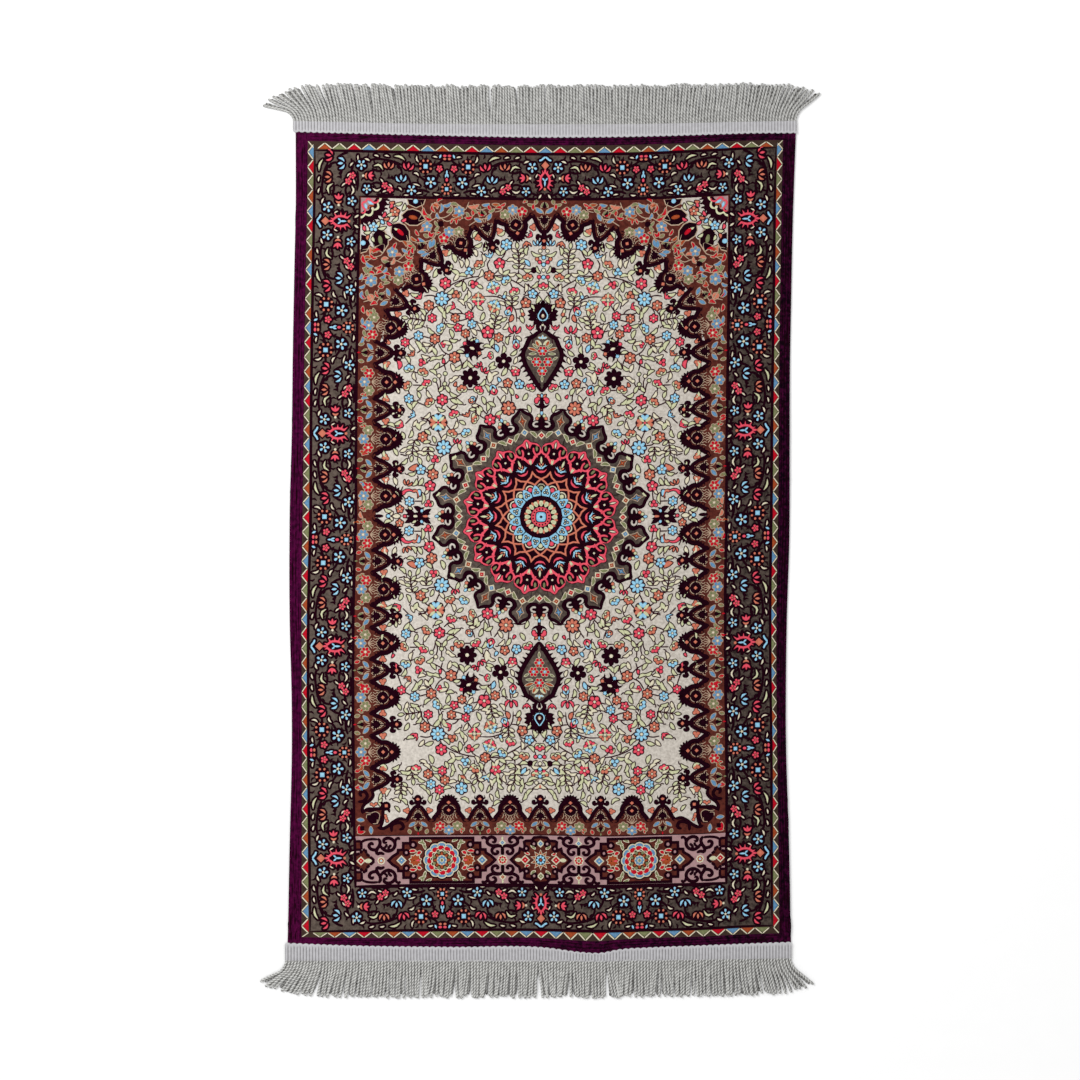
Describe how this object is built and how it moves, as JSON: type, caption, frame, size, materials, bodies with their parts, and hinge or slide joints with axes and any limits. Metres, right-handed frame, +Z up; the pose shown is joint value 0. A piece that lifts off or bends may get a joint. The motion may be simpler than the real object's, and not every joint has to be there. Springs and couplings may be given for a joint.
{
  "type": "prayer rug",
  "caption": "Flat woven chenille prayer rug with a pointed arch and medallion, bordered on four sides, with a fringed tape sewn over each end.",
  "frame": {"origin": "on the floor, under the middle of the rug's bounding box, fringe included", "axes": "+X across the rug, +Y along it towards the point of the arch, +Z up out of its face"},
  "size_m": [0.7598, 1.2552, 0.0045],
  "materials": {
    "cloth": "matte chenille weave in ivory, taupe, brown and plum with coral, blue, salmon and pale green",
    "fringe": "matte twisted cotton cords and ribbed tape, off-white"
  },
  "bodies": {
    "root": {"rug_cloth": "cloth", "fringe_top": "fringe", "fringe_bottom": "fringe"}
  },
  "joints": []
}
